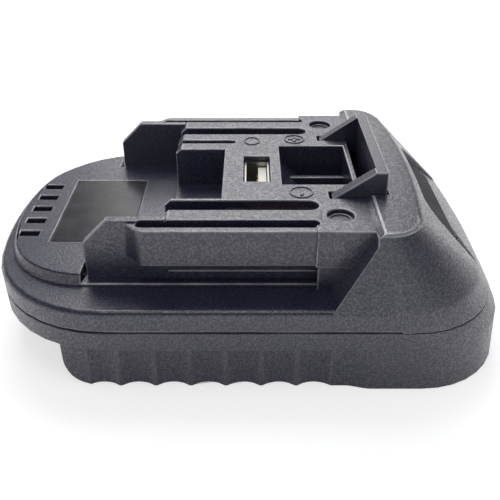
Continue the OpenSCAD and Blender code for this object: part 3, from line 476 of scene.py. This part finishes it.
plastic("white_plastic", Scale=900.0, Height=0.000004, Roughness=0.3,
        Base=(0.72, 0.71, 0.64, 1), Fleck=0.01)
plastic("ferrite", Scale=1600.0, Height=0.00003, Roughness=0.55,
        Base=(0.035, 0.035, 0.038, 1), Fleck=0.02)
plastic("chip_epoxy", Scale=2200.0, Height=0.00001, Roughness=0.45,
        Base=(0.012, 0.012, 0.013, 1), Fleck=0.01)
metal("plated_steel", 0.34, (0.44, 0.43, 0.4, 1))
metal("spring_steel", 0.3, (0.55, 0.56, 0.58, 1))
metal("contact_brass", 0.34, (0.56, 0.4, 0.19, 1))
metal("can_aluminium", 0.33, (0.7, 0.71, 0.73, 1))
metal("screw_steel", 0.36, (0.2, 0.2, 0.21, 1))


def paint(piece, slot):
    piece.data.materials.clear()
    piece.data.materials.append(finish_of[slot])


for node_name, cad_piece in nodes.items():
    paint(cad_piece, SLOT_OF[node_name])

# Mouldings with rounded edges
for node_name, width, segments, wear_and_highlight in MOULDINGS:
    shell = softened(node_name, node_name + "_soft", width, segments, wear_and_highlight)
    paint(shell, SLOT_OF[node_name])

# Coil springs, as smooth-shaded copies of their CAD nodes
for node_name in SPRINGS:
    coil = cad_copy(node_name, node_name + "_coil", flatten=False)
    smooth(coil, COIL_SMOOTH_DEGREES)
    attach(coil, nodes[node_name]["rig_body"])
    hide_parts(node_name)
    paint(coil, SLOT_OF[node_name])
    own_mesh(coil)


# Raised marks
def raised_ring(name, place, radius, squeeze=1.0):
    """A flat ring, sunk a little into the platform."""
    bpy.ops.object.select_all(action="DESELECT")
    bpy.ops.mesh.primitive_circle_add(
        vertices=RING_STEPS, radius=radius, fill_type="NOTHING", location=(0, 0, -MARK_SINK))
    ring = bpy.context.object
    ring.name = name
    bpy.ops.object.mode_set(mode="EDIT")
    bpy.ops.mesh.select_all(action="SELECT")
    bpy.ops.mesh.extrude_edges_indiv()
    inner = (radius - MARK_WIDTH) / radius
    bpy.ops.transform.resize(value=(inner, inner, 1.0))
    bpy.ops.mesh.select_all(action="SELECT")
    bpy.ops.mesh.extrude_region_move(TRANSFORM_OT_translate={"value": (0, 0, MARK_SINK + MARK_RISE)})
    bpy.ops.mesh.select_all(action="SELECT")
    bpy.ops.mesh.normals_make_consistent(inside=False)
    bpy.ops.object.mode_set(mode="OBJECT")
    ring.scale = (squeeze, 1.0, 1.0)
    settle(ring)
    ring.location = place
    settle(ring)
    return ring


def raised_bar(name, place, size):
    """A bar that stands as high as the rings."""
    bpy.ops.object.select_all(action="DESELECT")
    bpy.ops.mesh.primitive_cube_add(size=1.0, location=place)
    piece = bpy.context.object
    piece.name = name
    piece.scale = (size[0], size[1], 2 * MARK_RISE)
    settle(piece)
    return piece


def joined(pieces, name):
    """One mark made of its ring and bars, with rounded edges."""
    mark = pieces[0]
    select_only(mark)
    for piece in pieces[1:]:
        piece.select_set(True)
    if len(pieces) > 1:
        bpy.ops.object.join()
    mark.name = name
    edge = mark.modifiers.new("edge", "BEVEL")
    edge.width = MARK_ROUND
    edge.segments = MARK_ROUND_STEPS
    edge.limit_method = "ANGLE"
    edge.angle_limit = math.radians(MARK_SMOOTH_DEGREES)
    apply_modifiers(mark)
    smooth(mark, MARK_SMOOTH_DEGREES)
    return mark


plus_mark = joined([
    raised_ring("plus_ring", PLUS, RING_RADIUS),
    raised_bar("plus_bar_x", PLUS, (BAR[1], BAR[0])),
    raised_bar("plus_bar_y", PLUS, BAR),
], "plus_mark")
minus_mark = joined([
    raised_ring("minus_ring", MINUS, RING_RADIUS),
    raised_bar("minus_bar", MINUS, BAR),
], "minus_mark")
oval_mark = joined([raised_ring("oval_ring", OVAL, OVAL_RADIUS, OVAL_SQUEEZE)], "oval_mark")
for mark in (plus_mark, minus_mark, oval_mark):
    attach(mark, "housing")
    paint(mark, "black_plastic")


# Floor, world, lamps and camera
def floor_paint(place):
    """Pale floor that takes shadows; reflections see it dimmer close to the object, in its shade."""
    made = bpy.data.materials.new("floor_paint")
    made.use_nodes = True
    tree = made.node_tree
    shader = tree.nodes["Principled BSDF"]
    shader.inputs["Base Color"].default_value = FLOOR_GREY
    shader.inputs["Roughness"].default_value = FLOOR_ROUGHNESS
    shader.inputs["Specular IOR Level"].default_value = FLOOR_SPECULAR
    fit = tree.nodes.new("ShaderNodeMapping")
    feed(tree, fit.inputs["Vector"], tree.nodes.new("ShaderNodeTexCoord").outputs["Object"])
    feed(tree, fit.inputs["Scale"], (1 / cad_high.x, 1 / cad_high.y, 1.0))
    feed(tree, fit.inputs["Location"], (0.0, place.y / cad_high.y, 0.0))
    away = tree.nodes.new("ShaderNodeVectorMath")
    away.operation = "LENGTH"
    feed(tree, away.inputs[0], fit.outputs["Vector"])
    shade = remap(tree, away.outputs["Value"], SHADE_REACH, SHADE_LEVEL)
    path = tree.nodes.new("ShaderNodeLightPath").outputs
    mirrored = combine(tree, "MULTIPLY", path["Is Glossy Ray"], shade)
    seen = combine(tree, "MAXIMUM", path["Is Camera Ray"], mirrored)
    seen_through = combine(tree, "MAXIMUM", seen, path["Is Transmission Ray"])
    glow = tree.nodes.new("ShaderNodeEmission")
    feed(tree, glow.inputs["Strength"], combine(tree, "MULTIPLY", seen_through, FLOOR_GLOW))
    both = tree.nodes.new("ShaderNodeAddShader")
    feed(tree, both.inputs[0], shader.outputs["BSDF"])
    feed(tree, both.inputs[1], glow.outputs["Emission"])
    feed(tree, tree.nodes["Material Output"].inputs["Surface"], both.outputs["Shader"])
    return made


def studio_world():
    """An even soft light on the object, in front of a backdrop that is white round the horizon."""
    made = bpy.data.worlds.new("studio")
    made.use_nodes = True
    tree = made.node_tree
    soft_sky = tree.nodes["Background"]
    soft_sky.inputs["Color"].default_value = SKY_COLOUR
    soft_sky.inputs["Strength"].default_value = SKY_STRENGTH
    path = tree.nodes.new("ShaderNodeLightPath").outputs
    direction = tree.nodes.new("ShaderNodeSeparateXYZ")
    feed(tree, direction.inputs["Vector"], tree.nodes.new("ShaderNodeTexCoord").outputs["Generated"])

    # Backdrop: dimmer overhead and, in reflections only, dimmer towards the nose
    overhead = remap(tree, direction.outputs["Z"], OVERHEAD_REACH, OVERHEAD_LEVEL)
    nose_side = remap(tree, direction.outputs["X"], NOSE_SIDE_REACH, NOSE_SIDE_LEVEL)
    nose_mirrored = combine(tree, "MAXIMUM", nose_side, path["Is Camera Ray"])
    backdrop = tree.nodes.new("ShaderNodeBackground")
    backdrop.inputs["Color"].default_value = WHITE
    feed(tree, backdrop.inputs["Strength"], combine(tree, "MULTIPLY", overhead, nose_mirrored))

    # The camera, reflections and clear pieces see the backdrop
    seen = combine(tree, "MAXIMUM", path["Is Camera Ray"], path["Is Glossy Ray"])
    seen_through = combine(tree, "MAXIMUM", seen, path["Is Transmission Ray"])
    choose = tree.nodes.new("ShaderNodeMixShader")
    feed(tree, choose.inputs["Fac"], seen_through)
    feed(tree, choose.inputs[1], soft_sky.outputs["Background"])
    feed(tree, choose.inputs[2], backdrop.outputs["Background"])
    feed(tree, tree.nodes["World Output"].inputs["Surface"], choose.outputs["Shader"])
    return made


def soft_box(name, place, target, size, power):
    """A rectangular lamp that faces its target."""
    bpy.ops.object.select_all(action="DESELECT")
    bpy.ops.object.light_add(type="AREA", location=place)
    lamp = bpy.context.object
    lamp.name = name
    lamp.data.shape = "RECTANGLE"
    lamp.data.size = size[0]
    lamp.data.size_y = size[1]
    lamp.data.energy = power
    aim = Vector(target) - Vector(place)
    lamp.rotation_euler = aim.to_track_quat("-Z", "Y").to_euler()


bpy.ops.object.select_all(action="DESELECT")
bpy.ops.mesh.primitive_plane_add(size=FLOOR_SIZE, location=FLOOR_CENTRE)
floor = bpy.context.object
floor.name = "floor"
floor.data.materials.append(floor_paint(floor.location))

scene = bpy.context.scene
scene.world = studio_world()
for name, place, target, size, power in LAMPS:
    soft_box(name, place, target, size, power)

camera_turn = (math.radians(90 - CAMERA_DOWN_DEGREES), 0, 0)
bpy.ops.object.camera_add(location=CAMERA_PLACE, rotation=camera_turn)
camera = bpy.context.object
camera.name = "photo_camera"
camera.data.sensor_width = SENSOR_WIDTH
camera.data.lens = SENSOR_WIDTH * FOCAL_PIXELS / IMAGE_PIXELS
camera.data.clip_start = NEAR_CLIP
camera.data.dof.use_dof = False
scene.camera = camera
scene.view_settings.view_transform = "Standard"
